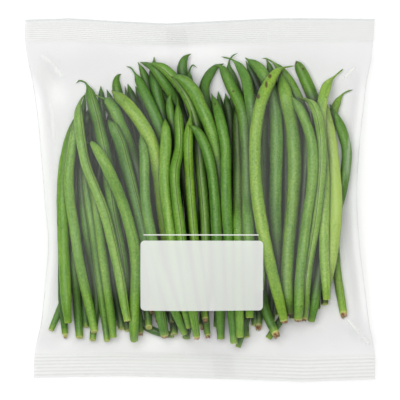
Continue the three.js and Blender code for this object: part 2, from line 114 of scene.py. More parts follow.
# Shade, from dark (0) to pale (1), and warmth, from blue-green (0) to yellow-green (1), of beans that stand
# out. The others get a drawn shade, made darker low in the pile as painted shade, and a drawn warmth.
SHADES = {
    23: (0.45, 0.8),
    24: (0.66, 0.7),
    25: (0.36, 0.6),
    26: (0.98, 0.5),
    27: (0.5, 0.9),
    30: (0.5, 0.4),
    35: (0.68, 0.95),
    37: (0.55, 0.3),
    38: (0.66, 0.35),
    40: (0.5, 0.55),
    41: (0.56, 0.9),
    42: (0.55, 0.4),
    43: (0.42, 0.3),
    45: (0.6, 0.5),
    46: (0.42, 0.6),
    49: (0.55, 0.5),
    50: (0.62, 0.5),
    51: (0.76, 0.5),
    52: (0.7, 0.4),
    54: (0.66, 0.9),
    58: (0.62, 0.4),
    59: (0.7, 0.4),
}
LOWEST_SHADE, PAINTED_SHADE_RISE, SHADE_SPREAD, WARMTHS = 0.22, 0.3, (-0.08, 0.12), (0.2, 0.8)
# Deep pods are drawn darkest, a painted shade of the pile over them.
DEEP_PAINTED_SHADES, DEEP_WARMTH = (0.0, 0.25), 0.4
# Brown marks: x, y, half the width and half the length, in millimetres.
MARKS = [
    (40.0, 70.8, 1.1, 1.7),
    (37.9, 65.8, 0.9, 2.5),
    (33.2, 58.9, 1.1, 1.9),
    (55.3, 79.2, 1.1, 0.9),
    (59.5, 75.6, 0.9, 0.7),
    (57.8, 77.6, 0.4, 0.4),
    (19.2, 62.4, 0.8, 0.9),
    (8.7, 55.0, 0.5, 0.9),
]
# Beans deep in the pile, of which little shows: x, y of the tail's tip, x, y of the stem end, how far the
# middle is bent aside and the thickness, in millimetres.
DEEP_PODS = [
    (-18, 60, -4, -65, 4, 4.8),
    (-48, 46, -42, -75, -4, 4.8),
    (7, 58, 6, -55, 4, 4.8),
    (60, 50, 72, -60, 4, 4.8),
    (-66, 36, -48, -72, -4, 4.8),
    (18, 46, 32, -72, 0, 4.8),
    (56, 36, 54, -68, 0, 4.8),
    (-38, 62, -20, -55, 4, 4.8),
    (-40, 40, -34, -75, -4, 4.8),
    (24.5, 67, 36, -55, 4, 4.8),
    (-22, 50, -12, -72, 4, 4.8),
    (36, 62, 43, -66, 4, 4.8),
    (-57.5, 66, -54, 8, 0, 3.8),
    (-43.5, 66, -28.5, -55, 2.5, 3.8),
    (-37.5, 66, -21.5, 7, 2.5, 3.8),
    (-66.5, 62, -62.5, -56, -5, 3.8),
    (10.5, 63, 21, -17, 0, 4.4),
    (-23.5, 66, 0, -13, 5, 3.8),
    (-54, 64, -47.5, -3, 5, 3.8),
    (26.5, 80.5, 42, -10, 7, 5),
    (-69, 10, -66, -73, -1, 4.6),
    (-63.4, 52, -62.2, 2, 0, 3.4),
    (-14.5, 66, -1, 20, 0, 4.0),
    (18, 61, 22.5, 5, 0, 3.6),
]
DEEP_LIFT = 0.9  # from the floor to the underside of a deep pod, in millimetres
DEEP_POINTS = 12
# The heights of the pile are kept in cells of this size, this far out from the middle. Swellings make a pod a
# little wider than its radii.
PILE_CELL, PILE_HALF = 0.5 * MM, 0.12
SWELLING = 1.03
# To find how far the pile shuts a point in, the pods around it are looked at this far off, this many ways.
LOOK_REACHES, LOOK_WAYS = (2.2 * MM, 4.5 * MM, 8 * MM), 12

# ---- the film ----
FILM_COLUMNS = 150
BODY_ROWS = 140
TOP_BAND_ROWS = 46
BOTTOM_BAND_ROWS = 36
CROWDING = 0.65  # how much closer together the columns are at the folded sides
TOP_EDGE, BOTTOM_EDGE = 105 * MM, -105 * MM
TOP_SEAL, BOTTOM_SEAL = 92.5 * MM, -91 * MM  # where the crimped bands start
END_SLOPE = 26 * MM  # from a band to the flat middle of the bag
SEAL_HEIGHT, SIDE_HEIGHT = 6 * MM, 8 * MM  # how high the bands and the folded sides lie
BACK_LIFT = 0.25 * MM  # room for the seam's flap under the back
FILM_LAYER = 0.15 * MM  # from the middle of a seal to the front, and to the back
FILM_CLEARANCE, CLEARANCE_ASIDE = 0.15 * MM, 1.2 * MM  # what the film keeps over the beans, and beside them
DRAPE_ROUNDS = 60
AIR, AIR_MARGIN = 2.6 * MM, 25 * MM  # the film stands off the beans, fully at this distance from the sides
RELIEF_MARGIN = 6 * MM  # creases and gathers fade out over this distance from the sides
# Gathers run out from the bands: the lengths of their waves and their heights at each band, in millimetres,
# how soon they rise and how far they reach.
GATHER_WAVES = (31, 19, 11)
TOP_GATHER, BOTTOM_GATHER = 0.5, 0.6
GATHER_START, GATHER_REACH = 3 * MM, 13 * MM
SLACK = 0.5 * MM  # slow unevenness of the slack film
TOP_RIB_PITCH, TOP_RIB = 1.15 * MM, 0.05 * MM
BOTTOM_RIB_PITCH, BOTTOM_RIB = 2.1 * MM, 0.22 * MM
# The ribs of the lower band are faint round this x, and get stronger between these distances from it.
FAINT_MIDDLE, FAINT_REACH, FAINTNESS = -5 * MM, (25 * MM, 60 * MM), 0.3
# The outer edges are greyer, a painted shade along the cut edges: how wide that strip and its core are at the
# top, how wide it is at the bottom, and how grey it is there.
TOP_RIM, TOP_RIM_CORE, BOTTOM_RIM, BOTTOM_RIM_SHARE = 1.6 * MM, 0.6 * MM, 0.6 * MM, 0.6
VENT_RADIUS = 2.5 * MM
VENT_CUT, VENT_RIM = 1.05, 2.2  # times the radius, where points are cut away and where the rim is looked for
BACK_HEIGHT = 1 * MM  # the back lies lower than this at the vents, and the front higher
VENT_PLACES = [(-45, 50), (45, 50), (-45, -50), (45, -50)]
# The back seam's flap: where it starts and ends, how it leans, and how far its corners lie aside, and down in
# millimetres.
FLAP_START, FLAP_END, FLAP_ROWS = BOTTOM_EDGE + 1 * MM, TOP_EDGE - 4 * MM, 90
SEAM_LEAN = -0.14
SEAM_FLAP = 6 * MM  # half its width
BANDED_FLAP = 0.7  # the flap is clear and without shine (1), but less so where it is pressed into a band
FLAP_CORNERS = [(-SEAM_FLAP, 0.10), (-SEAM_FLAP, 0.04), (SEAM_FLAP, 0.06), (SEAM_FLAP, 0.14)]
# Left and right edge of the bag against y, and how far each crimped edge is drawn in against x.
OUTLINE = MM * np.array([
    (-105, -96, 101), (-90, -95.5, 101), (-70, -91.5, 97.5), (-50, -89.5, 95), (-25, -87.5, 92),
    (0, -89.5, 90.5), (25, -91.5, 91.5), (50, -94, 94), (70, -97, 96.5), (82, -99.5, 99), (92, -101, 100),
    (105, -101, 101),
])
EDGES = MM * np.array([
    (-101, 0.8, 2.2), (-75, 0, 2.8), (-45, 1.8, 3.2), (-20, 3, 2.6),
    (10, 1.6, 1.8), (40, 0.2, 0.8), (60, 0, 0), (101, 0.4, 1.5),
])
# Creases in the front, in millimetres: from x, y to x, y, then half the width and the height of the ridge.
CREASES = [
    (-99, 90, -72, 61, 3.0, 0.8),
    (-91, 91, -56, 78, 3.5, 0.6),
    (98, 90, 73, 60, 2.8, 0.8),
    (78, 91, 66, 74, 3.0, 0.8),
    (76, -60, 99, -89, 2.8, 1.1),
    (60, -72, 80, -90, 3.0, 0.9),
    (-76, -70, -94, -89, 2.4, 1.4),
    (-62, -74, -78, -89, 3.0, 0.8),
    (-93, 70, -82, 20, 1.8, 0.8),
    (-82, 20, -84, -50, 1.8, 0.8),
    (90, 60, 85, 10, 1.6, 0.7),
    (85, 10, 91, -55, 1.6, 0.7),
    (-22, 86, 12, 86, 5.0, 1.3),
]
# The print is left bare: a pale panel with rounded corners and a thin rule over it, in millimetres.
PANEL_MIDDLE, PANEL_SIZE, PANEL_CORNER = (1.0, -42.8), (69.3, 39.7), 2.4
RULE_MIDDLE, RULE_SIZE, RULE_CORNER = (0.6, -19.7), (65, 0.7), 0.3
PRINT_HEIGHT = 1.5 * SIDE_HEIGHT  # the front lies higher than this where it is printed, the back lower
INK_COVER = 0.65
INK_COLOUR = (247, 249, 245)
FILM_SHINE = 0.022  # what the film mirrors face on
CLEAR_TINT, GREY_TINT = (255, 255, 255), (245, 244.6, 245.2)  # a layer of film at its clearest and greyest
TONE = 0.48  # how grey the film is, from the clearest (0) to the greyest (1)
# Soft patches of painted shade, greyer, or of painted light, clearer: middle, half width and half length in
# millimetres, how much.
PAINTED_SHADE_PATCHES = [
    (-70, 80, 24, 12, 0.18),
    (66, 79, 26, 11, 0.12),
    (-68, -81, 24, 7, 0.38),
    (66, -76, 28, 10, 0.16),
    (88, -40, 6, 26, 0.15),
    (-4, 86, 24, 7, -0.3),
    (-82, 62, 5, 8, -0.5),
    (-88, 0, 9, 40, -0.25),
    (-77, -84, 5, 3, -0.4),
    (-26, -84, 18, 6, -0.2),
]
# Painted shade of a fold runs down each side, greyer, inside a strip of painted light, clearer: their places
# in millimetres from the side, and how much greyer and clearer. They are there in the waist, and fade out
# towards its ends.
FOLD_PLACE, FOLD_WIDTH, FOLD_SHADE = 6.0, 1.6, 0.3
STRIP_WIDTH, STRIP_CORE, STRIP_LIGHT = 4.0, 2, 0.5
WAIST_END, WAIST_CORE = 80, 55
# Painted highlights along creases in the film: from x, y to x, y and half the width, in millimetres, and how
# white.
GLEAMS = [
    (-84.5, 77.5, -78.3, 69.6, 1.0, 0.4),
    (-92, 84, -84.5, 77.5, 1.2, 0.25),
    (89.5, 77, 81.5, 68.8, 0.8, 0.55),
    (82.5, -66.3, 93, -77.8, 1.0, 0.65),
    (93, -77.8, 98, -84, 1.1, 0.35),
    (-86, 60, -83, 30, 0.8, 0.25),
    (-95, 80, -80, 56, 3.2, 0.2),
    (86, 42, 84, 10, 0.8, 0.25),
]
BAND_TINTS = (246, 246, 246), (255, 255, 255)  # between the ribs and on them
EDGE_SHADE_TINT = (240, 241, 242)  # painted shade on the outer edges
# The haze, and the painted reflection and painted highlights drawn with it, are this colour.
HAZE_AND_HIGHLIGHT_COLOUR = (239, 242, 235)
# Painted reflection, a soft milky veil on the front over the beans: middle, half width and half length, in
# millimetres.
REFLECTION_PATCHES = [(-49, 4, 28, 60), (50, 4, 30, 60)]
PATCH_REFLECTION, BAND_MILKINESS, TRACE_MILKINESS = 0.05, 0.08, 0.003  # there, in the bands and elsewhere


# ---- helpers ----
def smoothstep(low, high, value):
    t = np.clip((value - low) / (high - low), 0, 1)
    return t * t * (3 - 2 * t)


def mesh_object(name, vertices, faces, attributes=None, material=None):
    mesh = bpy.data.meshes.new(name)
    mesh.from_pydata([tuple(v) for v in vertices], [], [tuple(f) for f in faces])
    for key, values in (attributes or {}).items():
        layer = mesh.attributes.new(key, "FLOAT", "POINT")
        layer.data.foreach_set("value", np.asarray(values, np.float32))
    mesh.polygons.foreach_set("use_smooth", np.ones(len(mesh.polygons), bool))
    if material:
        mesh.materials.append(material)
    made = bpy.data.objects.new(name, mesh)
    bpy.context.scene.collection.objects.link(made)
    return made


class Nodes:
    """A short way to write the nodes of a material or the sky."""

    def __init__(self, tree):
        self.tree = tree
        self.tree.nodes.clear()

    def add(self, kind, inputs=None, **settings):
        node = self.tree.nodes.new("ShaderNode" + kind)
        for key, value in settings.items():
            setattr(node, key, value)
        for key, value in (inputs or {}).items():
            self.set(node.inputs[key], value)
        return node

    def set(self, socket, value):
        if isinstance(value, bpy.types.NodeSocket):
            self.tree.links.new(value, socket)
        else:
            socket.default_value = value

    def math(self, operation, *values, clamp=False):
        node = self.tree.nodes.new("ShaderNodeMath")
        node.operation = operation
        node.use_clamp = clamp
        for socket, value in zip(node.inputs, values):
            self.set(socket, value)
        return node.outputs[0]

    def mix(self, share, a, b):
        node = self.tree.nodes.new("ShaderNodeMix")
        node.data_type = "RGBA"
        self.set(node.inputs[0], share)
        self.set(node.inputs[6], a)
        self.set(node.inputs[7], b)
        return node.outputs[2]

    def ramp(self, value, low, high, from_value=0.0, to_value=1.0):
        node = self.tree.nodes.new("ShaderNodeMapRange")
        node.interpolation_type = "SMOOTHSTEP"
        for socket, entry in zip(node.inputs, (value, low, high, from_value, to_value)):
            self.set(socket, entry)
        return node.outputs[0]

    def attribute(self, name):
        return self.add("Attribute", attribute_name=name).outputs["Fac"]

    def noise(self, scale, detail=2.0, vector=None, roughness=0.5):
        node = self.add("TexNoise", {"Scale": scale, "Detail": detail, "Roughness": roughness})
        if vector is not None:
            self.set(node.inputs["Vector"], vector)
        return node.outputs["Fac"]

    def combine(self, x, y, z):
        return self.add("CombineXYZ", {"X": x, "Y": y, "Z": z}).outputs[0]

    def parts(self, place):
        return self.add("SeparateXYZ", {"Vector": place}).outputs

    def offsets(self, parts, x, y, half_width, half_length):
        """How far x and y lie from a patch's middle, in halves of its size, which is given in millimetres."""
        across = self.math("DIVIDE", self.math("SUBTRACT", parts[0], x * MM), half_width * MM)
        along = self.math("DIVIDE", self.math("SUBTRACT", parts[1], y * MM), half_length * MM)
        return across, along

    def mix_shader(self, share, a, b):
        return self.add("MixShader", {0: share, 1: a.outputs[0], 2: b.outputs[0]})

    def surface(self, shader, output="OutputMaterial"):
        self.set(self.add(output).inputs["Surface"], shader.outputs[0])


def new_material(name):
    material = bpy.data.materials.new(name)
    material.use_nodes = True
    return material, Nodes(material.node_tree)


def srgb(red, green, blue):
    """A colour given as it looks on a screen, 0 to 255, as the linear values that a shader takes."""
    linear = [((c / 255 + 0.055) / 1.055) ** 2.4 if c > 10 else c / 255 / 12.92 for c in (red, green, blue)]
    return (*linear, 1)


# ---- the beans ----
def rings_of(node):
    """The middles and radii of a bean's rings, from the tip of its tail to its stem end."""
    bm = bmesh.new()
    bm.from_mesh(node.data)
    bmesh.ops.remove_doubles(bm, verts=bm.verts, dist=1e-6)
    poles = [v for v in bm.verts if len(v.link_edges) == len(v.link_faces) == BEAN_SIDES]
    tip = max(poles, key=lambda v: v.co.y)
    reached, front = {tip}, [tip]
    middles, radii = [], []
    while front:
        middle = sum((v.co for v in front), Vector()) / len(front)
        middles.append(middle)
        radii.append(sum((v.co - middle).length for v in front) / len(front))
        beyond = {e.other_vert(v) for v in front for e in v.link_edges} - reached
        front = sorted(beyond, key=lambda v: v.index)
        reached.update(front)
    bm.free()
    if (middles[-1] - middles[-2]).length < 0.2 * MM:  # the middle of the cut end
        middles.pop()
        radii.pop()
    return np.array(middles), np.array(radii)


def smooth_curve(points, places, wanted):
    """Points on a smooth curve through points, which lie at places, at the wanted places."""
    points, places = np.asarray(points, float), np.asarray(places, float)
    slopes = np.gradient(points, places, axis=0)
    k = np.clip(np.searchsorted(places, wanted, "right") - 1, 0, len(places) - 2)
    step = (places[k + 1] - places[k])[:, None]
    t = ((wanted - places[k]) / (places[k + 1] - places[k]))[:, None]
    h00, h10 = 2 * t**3 - 3 * t**2 + 1, t**3 - 2 * t**2 + t
    h01, h11 = -2 * t**3 + 3 * t**2, t**3 - t**2
    return h00 * points[k] + h10 * step * slopes[k] + h01 * points[k + 1] + h11 * step * slopes[k + 1]


class Pod:
    """A bean's fine shape, around a line of middles with a radius at each."""

    def __init__(self, middles, radii, beak, shoulder, seam_up=None):
        steps = np.linalg.norm(np.diff(middles, axis=0), axis=1)
        places = np.concatenate([[0], np.cumsum(steps)])
        self.length = places[-1]
        tail, stem = TAIL_SHARE * self.length, STEM_SHARE * self.length
        near_tail = np.linspace(0, tail, POD_RINGS // 3, endpoint=False)
        body = np.linspace(tail, stem, POD_RINGS // 2, endpoint=False)
        near_stem = np.linspace(stem, self.length, POD_RINGS // 6)
        self.places = np.concatenate([near_tail, body, near_stem])
        self.along = self.places / self.length
        self.phase = RNG.uniform(0, 1)
        self.turn = RNG.uniform(-LEAN, LEAN)  # a pod lies on a flat side, with its seams to left and right
        self.twist = RNG.uniform(-LEAN, LEAN)
        if seam_up is not None:
            self.turn, self.twist = math.pi / 2 + seam_up, SEAM_UP_TWIST * self.twist
        self.slant = RNG.uniform(*SLANT)
        narrowing = RNG.uniform(*NARROWING)
        self.line = smooth_curve(middles, places, self.places)
        if beak <= -shoulder:  # a broken tail
            k = np.searchsorted(self.places, BROKEN_STRETCH)
            ahead = (self.line[k + 1] - self.line[k]) / (self.places[k + 1] - self.places[k])
            self.line[:k] = self.line[k] - ahead * (self.places[k] - self.places[:k])[:, None]
        self.line[:, 0] += WANDER * self.wander(28, 3.1) * smoothstep(0, 0.2, self.along)
        smooth = FULLNESS * smooth_curve(radii[:, None], places, self.places)[:, 0]
        narrowed = smooth * (1 - narrowing * smoothstep(NARROWING_START, 1, self.along))
        smooth = np.clip(narrowed, LEAST_RADIUS, None)
        thin = np.minimum(smooth, BEAK_RADIUS)
        self.radii = thin + (smooth - thin) * smoothstep(beak, beak + shoulder, self.places)

    def wander(self, frequency, offset):
        """A smooth random value along the pod."""
        return np.array([noise.noise(Vector((s * frequency, self.phase * 90, offset))) for s in self.places])

    def shaped_radii(self):
        """Radii with the swelling over each seed and the unevenness of a grown pod."""
        seeds = -0.5 * np.cos(2 * math.pi * (self.places / SEED_PITCH + self.phase))
        in_body = smoothstep(*BODY_START, self.along) * (1 - smoothstep(*BODY_END, self.along))
        uneven = FINE_UNEVENNESS * self.wander(60, 0) + COARSE_UNEVENNESS * self.wander(24, 7.7)
        return self.radii * (1 + in_body * (SEED_BULGE * seeds + uneven))

    def section(self, angle):
        """Share of the radius at an angle round the pod: a flat oval with a seam line on either side."""
        oval = np.sqrt(np.cos(angle) ** 2 + (FLATTENING * np.sin(angle)) ** 2)
        groove = np.exp(-((np.sin(angle) / GROOVE_WIDTH) ** 2))
        lips = np.exp(-(((np.abs(np.sin(angle)) - LIP_PLACE) / LIP_WIDTH) ** 2))
        return oval * (1 - GROOVE_DEPTH * groove + LIP_HEIGHT * lips)

    def build(self, name, material, tint, warmth, stem_end, piles, replaced=()):
        """The pod's mesh, with what its skin needs to know at each point; replaced is the bean's node."""
        radii = self.shaped_radii()
        tangents = np.gradient(self.line, self.places, axis=0)
        tangents /= np.linalg.norm(tangents, axis=1)[:, None]
        across = np.cross(tangents, (0, 0, 1))
        across /= np.linalg.norm(across, axis=1)[:, None]
        up = np.cross(across, tangents)
        angles = 2 * math.pi * np.arange(POD_SIDES) / POD_SIDES
        vertices, along, aside_share, lift_share, rim = [], [], [], [], []

        def add_ring(middle, ring, radius, place, centre):
            turn = self.turn + self.twist * place
            slant = (self.slant + (KNOT_SLANT if stem_end == "knot" else 0)) * smoothstep(0.95, 1, place)
            for angle in angles:
                reach = radius * self.section(angle)
                aside, rise = reach * math.cos(angle + turn), reach * math.sin(angle + turn)
                spot = Vector((3 * math.cos(angle), 3 * math.sin(angle), 50 * self.phase))
                ahead = centre * JAG * noise.noise(spot) - slant * rise
                vertices.append(middle + aside * across[ring] + rise * up[ring] + ahead * tangents[ring])
                along.append(place)
                aside_share.append(math.cos(angle))
                lift_share.append(math.sin(angle))
                rim.append(centre)

        for k in range(len(self.line)):
            add_ring(self.line[k], k, radii[k], self.along[k], 0)
        # the stem end: a lip, then the cut or what is left of the stalk
        for forward, share, centre in STEM_RINGS[stem_end]:
            add_ring(self.line[-1] + tangents[-1] * forward * MM, -1, radii[-1] * share, 1, centre)
        rings = len(vertices) // POD_SIDES
        faces = []
        for ring in range(rings - 1):
            for side in range(POD_SIDES):
                a, b = ring * POD_SIDES + side, ring * POD_SIDES + (side + 1) % POD_SIDES
                faces.append((a, a + POD_SIDES, b + POD_SIDES, b))
        faces.append(tuple(range(POD_SIDES)))
        faces.append(tuple(reversed(range((rings - 1) * POD_SIDES, rings * POD_SIDES))))
        count = len(vertices)
        points = np.array(vertices)
        turned = points * (1, 1, -1)
        attributes = {
            "along": along,
            "aside": aside_share,
            "lift": lift_share,
            "rim": rim,
            # how much sky each point sees, for the painted shade in the skin
            "open": np.maximum(openness(points, piles[0]), openness(turned, piles[1])),
            "tint": [tint] * count,
            "warmth": [warmth] * count,
            "chance": [self.phase] * count,
            "reach": np.array(along) * self.length / MM,
        }
        made = mesh_object(name, vertices, faces, attributes, material)
        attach(made, "root")
        if replaced:
            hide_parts(replaced)
        self.piece = made


def pile_heights(pods, spare, side=1):
    """How high the pods, wider by spare, reach over each cell; with side -1, when the pile is turned over."""
    count = int(2 * PILE_HALF / PILE_CELL) + 1
    heights = np.full((count, count), 0.0 if side > 0 else -1.0)
    for pod in pods:
        for (px, py, pz), radius in zip(pod.line, pod.radii * SWELLING):
            wide = radius + spare
            reach = int(wide / PILE_CELL) + 1
            i = int(round((px + PILE_HALF) / PILE_CELL)) + np.arange(-reach, reach + 1)
            j = int(round((py + PILE_HALF) / PILE_CELL)) + np.arange(-reach, reach + 1)
            away = np.hypot(*np.meshgrid(i * PILE_CELL - PILE_HALF - px, j * PILE_CELL - PILE_HALF - py))
            rise = np.sqrt(np.clip(radius**2 - (away * radius / wide) ** 2, 0, None))
            top = np.where(away < wide, side * pz + rise, -1)
            window = heights[j[0] : j[-1] + 1, i[0] : i[-1] + 1]
            np.maximum(window, top, out=window)
    return heights


def cells_of(x, y):
    """The row and column of the cell that each place lies in."""
    return tuple(((part + PILE_HALF) / PILE_CELL).round().astype(int) for part in (y, x))


def openness(points, heights):
    """How much of the sky each point sees past the pods around it, from 0 to 1."""
    seen = np.zeros(len(points))
    for angle in 2 * math.pi * np.arange(LOOK_WAYS) / LOOK_WAYS:
        steepest = np.zeros(len(points))
        for reach in LOOK_REACHES:
            x, y = points[:, 0] + reach * math.cos(angle), points[:, 1] + reach * math.sin(angle)
            steepest = np.maximum(steepest, (heights[cells_of(x, y)] - points[:, 2]) / reach)
        seen += 1 / (1 + steepest**2)
    return seen / LOOK_WAYS


def ramp_of(n, share, colours):
    """A colour that runs through colours evenly, as share goes from 0 to 1."""
    node = n.add("ValToRGB", {"Fac": share})
    elements = node.color_ramp.elements
    places = [k / (len(colours) - 1) for k in range(len(colours))]
    for place in places[1:-1]:
        elements.new(place)
    for element, place, colour in zip(elements, places, colours):
        element.position, element.color = place, srgb(*colour)
    return node.outputs[0]


def brown_marks(n):
    """1 on each of the brown marks."""
    place = n.add("TexCoord").outputs["Object"]
    wander = n.noise(900.0, 2.0, place)
    parts = n.parts(place)
    marked = 0.0
    for mark in MARKS:
        across, along = n.offsets(parts, *mark)
        away = n.math("SQRT", n.math("ADD", n.math("POWER", across, 2.0), n.math("POWER", along, 2.0)))
        away = n.math("ADD", away, n.math("MULTIPLY", wander, 0.9))
        marked = n.math("MAXIMUM", marked, n.ramp(away, 1.0, 1.6, 1.0, 0.0))
    return marked


def pod_material():
    material, n = new_material("pod_skin")
    along, lift, rim = n.attribute("along"), n.attribute("lift"), n.attribute("rim")
    tint, warmth = n.attribute("tint"), n.attribute("warmth")
    chance, reach = n.attribute("chance"), n.attribute("reach")
    place = n.add("TexCoord").outputs["Object"]
    # streaks run along the pod: fine round it, long along it
    side = n.math("ADD", n.attribute("aside"), n.math("MULTIPLY", chance, 40.0))

    def grain(scale, detail, stretch, roughness=0.5):
        return n.noise(scale, detail, n.combine(side, lift, n.math("MULTIPLY", reach, stretch)), roughness)

    streaks, flecks, patches = grain(3.2, 4.0, 0.05, 0.6), grain(6.0, 3.0, 0.35, 0.65), grain(1.4, 2.0, 0.028)
    mottle = n.noise(850.0, 2.0, place, 0.55)
    shade = tint
    for pattern, strength in ((streaks, 0.22), (patches, 0.6), (flecks, 0.3), (mottle, 0.6)):
        shade = n.math("ADD", shade, n.math("MULTIPLY", n.math("SUBTRACT", pattern, 0.5), strength))
    cool = ramp_of(n, shade, [(40, 84, 22), (62, 112, 34), (88, 138, 52), (122, 168, 72), (160, 196, 104)])
    warm = ramp_of(n, shade, [(50, 92, 8), (78, 126, 16), (106, 154, 34), (146, 182, 52), (184, 206, 80)])
    colour = n.mix(warmth, cool, warm)
    # the seams: a dark line between paler lips
    seam = n.math("ABSOLUTE", lift)
    colour = n.mix(n.ramp(seam, 0.08, 0.34, 0.35, 0.0), colour, srgb(172, 202, 98))
    colour = n.mix(n.ramp(seam, 0.03, 0.13, 0.85, 0.0), colour, srgb(36, 74, 10))
    # the tail darkens towards its tip, which is yellower
    colour = n.mix(n.ramp(along, 0.02, 0.1, 0.5, 0.0), colour, srgb(70, 112, 26))
    colour = n.mix(n.ramp(along, 0.0, 0.02, 0.7, 0.0), colour, srgb(104, 110, 48))
    # the stem end is fresher, its rim is pale, and the cut is brown
    colour = n.mix(n.ramp(along, 0.965, 0.998, 0.0, 0.45), colour, srgb(150, 184, 56))
    colour = n.mix(n.ramp(rim, 0.1, 0.4, 0.0, 0.9), colour, srgb(196, 204, 112))
    woody = n.mix(n.ramp(mottle, 0.42, 0.62), srgb(112, 66, 34), srgb(206, 160, 122))
    colour = n.mix(n.ramp(rim, 0.5, 0.95, 0.0, 0.95), colour, woody)
    # small marks anywhere, and the brown ones in their places
    spots = n.ramp(grain(2.6, 1.0, 0.22), 0.78, 0.82, 0.0, 0.7)
    colour = n.mix(spots, colour, srgb(92, 84, 30))
    dots = n.ramp(n.noise(520.0, 0.0, place), 0.8, 0.84, 0.0, 0.6)
    colour = n.mix(dots, colour, srgb(60, 84, 20))
    colour = n.mix(n.math("MULTIPLY", brown_marks(n), 0.9), colour, srgb(78, 50, 16))
    # painted shade: what the pile shuts in is darkened towards a deep green, the more the less sky it sees
    colour = n.mix(n.ramp(n.attribute("open"), 0.22, 0.9, 0.95, 0.0), colour, srgb(16, 36, 5))
    bump_height = n.math("ADD", n.math("MULTIPLY", flecks, 0.6), n.math("MULTIPLY", streaks, 0.8))
    bump = n.add("Bump", {"Height": bump_height, "Strength": 0.45, "Distance": 0.2 * MM})
    shader = n.add(
        "BsdfPrincipled",
        {
            "Base Color": colour,
            "Roughness": n.ramp(flecks, 0.3, 0.75, 0.44, 0.62),
            "Normal": bump.outputs[0],
            "Specular IOR Level": 0.28,
            "Subsurface Weight": 0.08,
            "Subsurface Radius": (0.6, 1.0, 0.2),
            "Subsurface Scale": 1 * MM,
        },
    )
    n.surface(shader)
    return material


def tail_of(number):
    """How long a bean's beak is, and over what length it widens into the pod."""
    beak = RNG.uniform(*(LONG_BEAK if number in LONG_BEAKS else SHORT_BEAK)) * MM
    if number in BROKEN_TAILS:
        return -SHORT_SHOULDER, SHORT_SHOULDER
    if number in TAPERED:
        return beak, TAPER
    return beak, LONG_SHOULDER if number in LONG_BEAKS else SHORT_SHOULDER


def stem_end_of(number):
    return next((end for end, numbers in STEM_ENDS.items() if number in numbers), "cut")


def bean_pods():
    """A pod on the line of each bean's node, and its name, shade, warmth, stem end and node."""
    names = sorted(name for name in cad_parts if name.startswith("bean_"))
    for number, name in enumerate(names, 1):
        pod = Pod(*rings_of(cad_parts[name]), *tail_of(number), SEAM_UP.get(number))
        # painted shade: the lower a bean lies in the pile, the darker it is drawn
        drawn_shade = LOWEST_SHADE + PAINTED_SHADE_RISE * number / len(names) + RNG.uniform(*SHADE_SPREAD)
        shade, warmth = SHADES.get(number, (drawn_shade, RNG.uniform(*WARMTHS)))
        yield pod, (name.replace("bean", "pod"), shade, warmth, stem_end_of(number), name)


def deep_pods():
    """The pods deep in the pile, each with its name, shade, warmth and stem end; they stand for no node."""
    share = np.linspace(0, 1, DEEP_POINTS)
    for number, (x0, y0, x1, y1, bend, thickness) in enumerate(DEEP_PODS, 1):
        x = x0 + (x1 - x0) * share + 4 * bend * share * (1 - share)
        y = y0 + (y1 - y0) * share
        middles = np.stack([x, y, np.full(DEEP_POINTS, DEEP_LIFT + thickness / 2)], 1) * MM
        radii = thickness / 2 * MM * smoothstep(-0.02, 0.12, share)
        pod = Pod(middles, radii, RNG.uniform(*DEEP_BEAK) * MM, SHORT_SHOULDER)
        # a deep pod's dark shade is painted shade
        yield pod, (f"deep_pod_{number:02d}", RNG.uniform(*DEEP_PAINTED_SHADES), DEEP_WARMTH, "cut", ())


def build_beans():
    skin = pod_material()
    made = [*bean_pods(), *deep_pods()]
    pods = [pod for pod, _ in made]
    piles = pile_heights(pods, 0), pile_heights(pods, 0, -1)
    for pod, (name, shade, warmth, stem_end, replaced) in made:
        pod.build(name, skin, shade, warmth, stem_end, piles, replaced)
    return pods


# ---- the film ----
def edge_shift(x, y):
    """How far a place on the bag moves with the crimped edge beyond it, which is drawn in."""
    top, bottom = (np.interp(x, EDGES[:, 0], EDGES[:, column]) for column in (1, 2))
    near_top = smoothstep(TOP_SEAL - END_SLOPE, TOP_EDGE, y)
    near_bottom = smoothstep(-(BOTTOM_SEAL + END_SLOPE), -BOTTOM_EDGE, -y)
    return bottom * near_bottom - top * near_top


def toward_band(y):
    """0 in the flat middle of the bag, 1 at either band."""
    to_top = (y - (TOP_SEAL - END_SLOPE)) / END_SLOPE
    to_bottom = (BOTTOM_SEAL + END_SLOPE - y) / END_SLOPE
    return np.clip(np.maximum(to_top, to_bottom), 0, 1) ** 2


def in_band(y):
    return (y <= BOTTOM_SEAL) | (y >= TOP_SEAL)


def from_side(x):
    """How far each of the film's points lies from the nearer side."""
    return np.minimum(x - x[:, :1], x[:, -1:] - x)


def film_grid():
    """Places of the film's points on the bag before its edges are drawn in: x and y."""
    rows = [
        np.linspace(BOTTOM_EDGE, BOTTOM_SEAL, BOTTOM_BAND_ROWS, endpoint=False),
        np.linspace(BOTTOM_SEAL, TOP_SEAL, BODY_ROWS, endpoint=False),
        np.linspace(TOP_SEAL, TOP_EDGE, TOP_BAND_ROWS),
    ]
    y = np.concatenate(rows)
    left = smooth_curve(OUTLINE[:, 1:2], OUTLINE[:, 0], y)
    right = smooth_curve(OUTLINE[:, 2:3], OUTLINE[:, 0], y)
    even = np.linspace(0, 1, FILM_COLUMNS)
    share = (1 - CROWDING) * even + CROWDING * (1 - np.cos(math.pi * even)) / 2
    return left + share * (right - left), np.repeat(y[:, None], FILM_COLUMNS, 1)


def bean_ceiling(pods, x, y):
    """The height that the film has to clear at each of its points, from the tops of the pods."""
    return pile_heights(pods, CLEARANCE_ASIDE)[cells_of(x, y)] + FILM_CLEARANCE


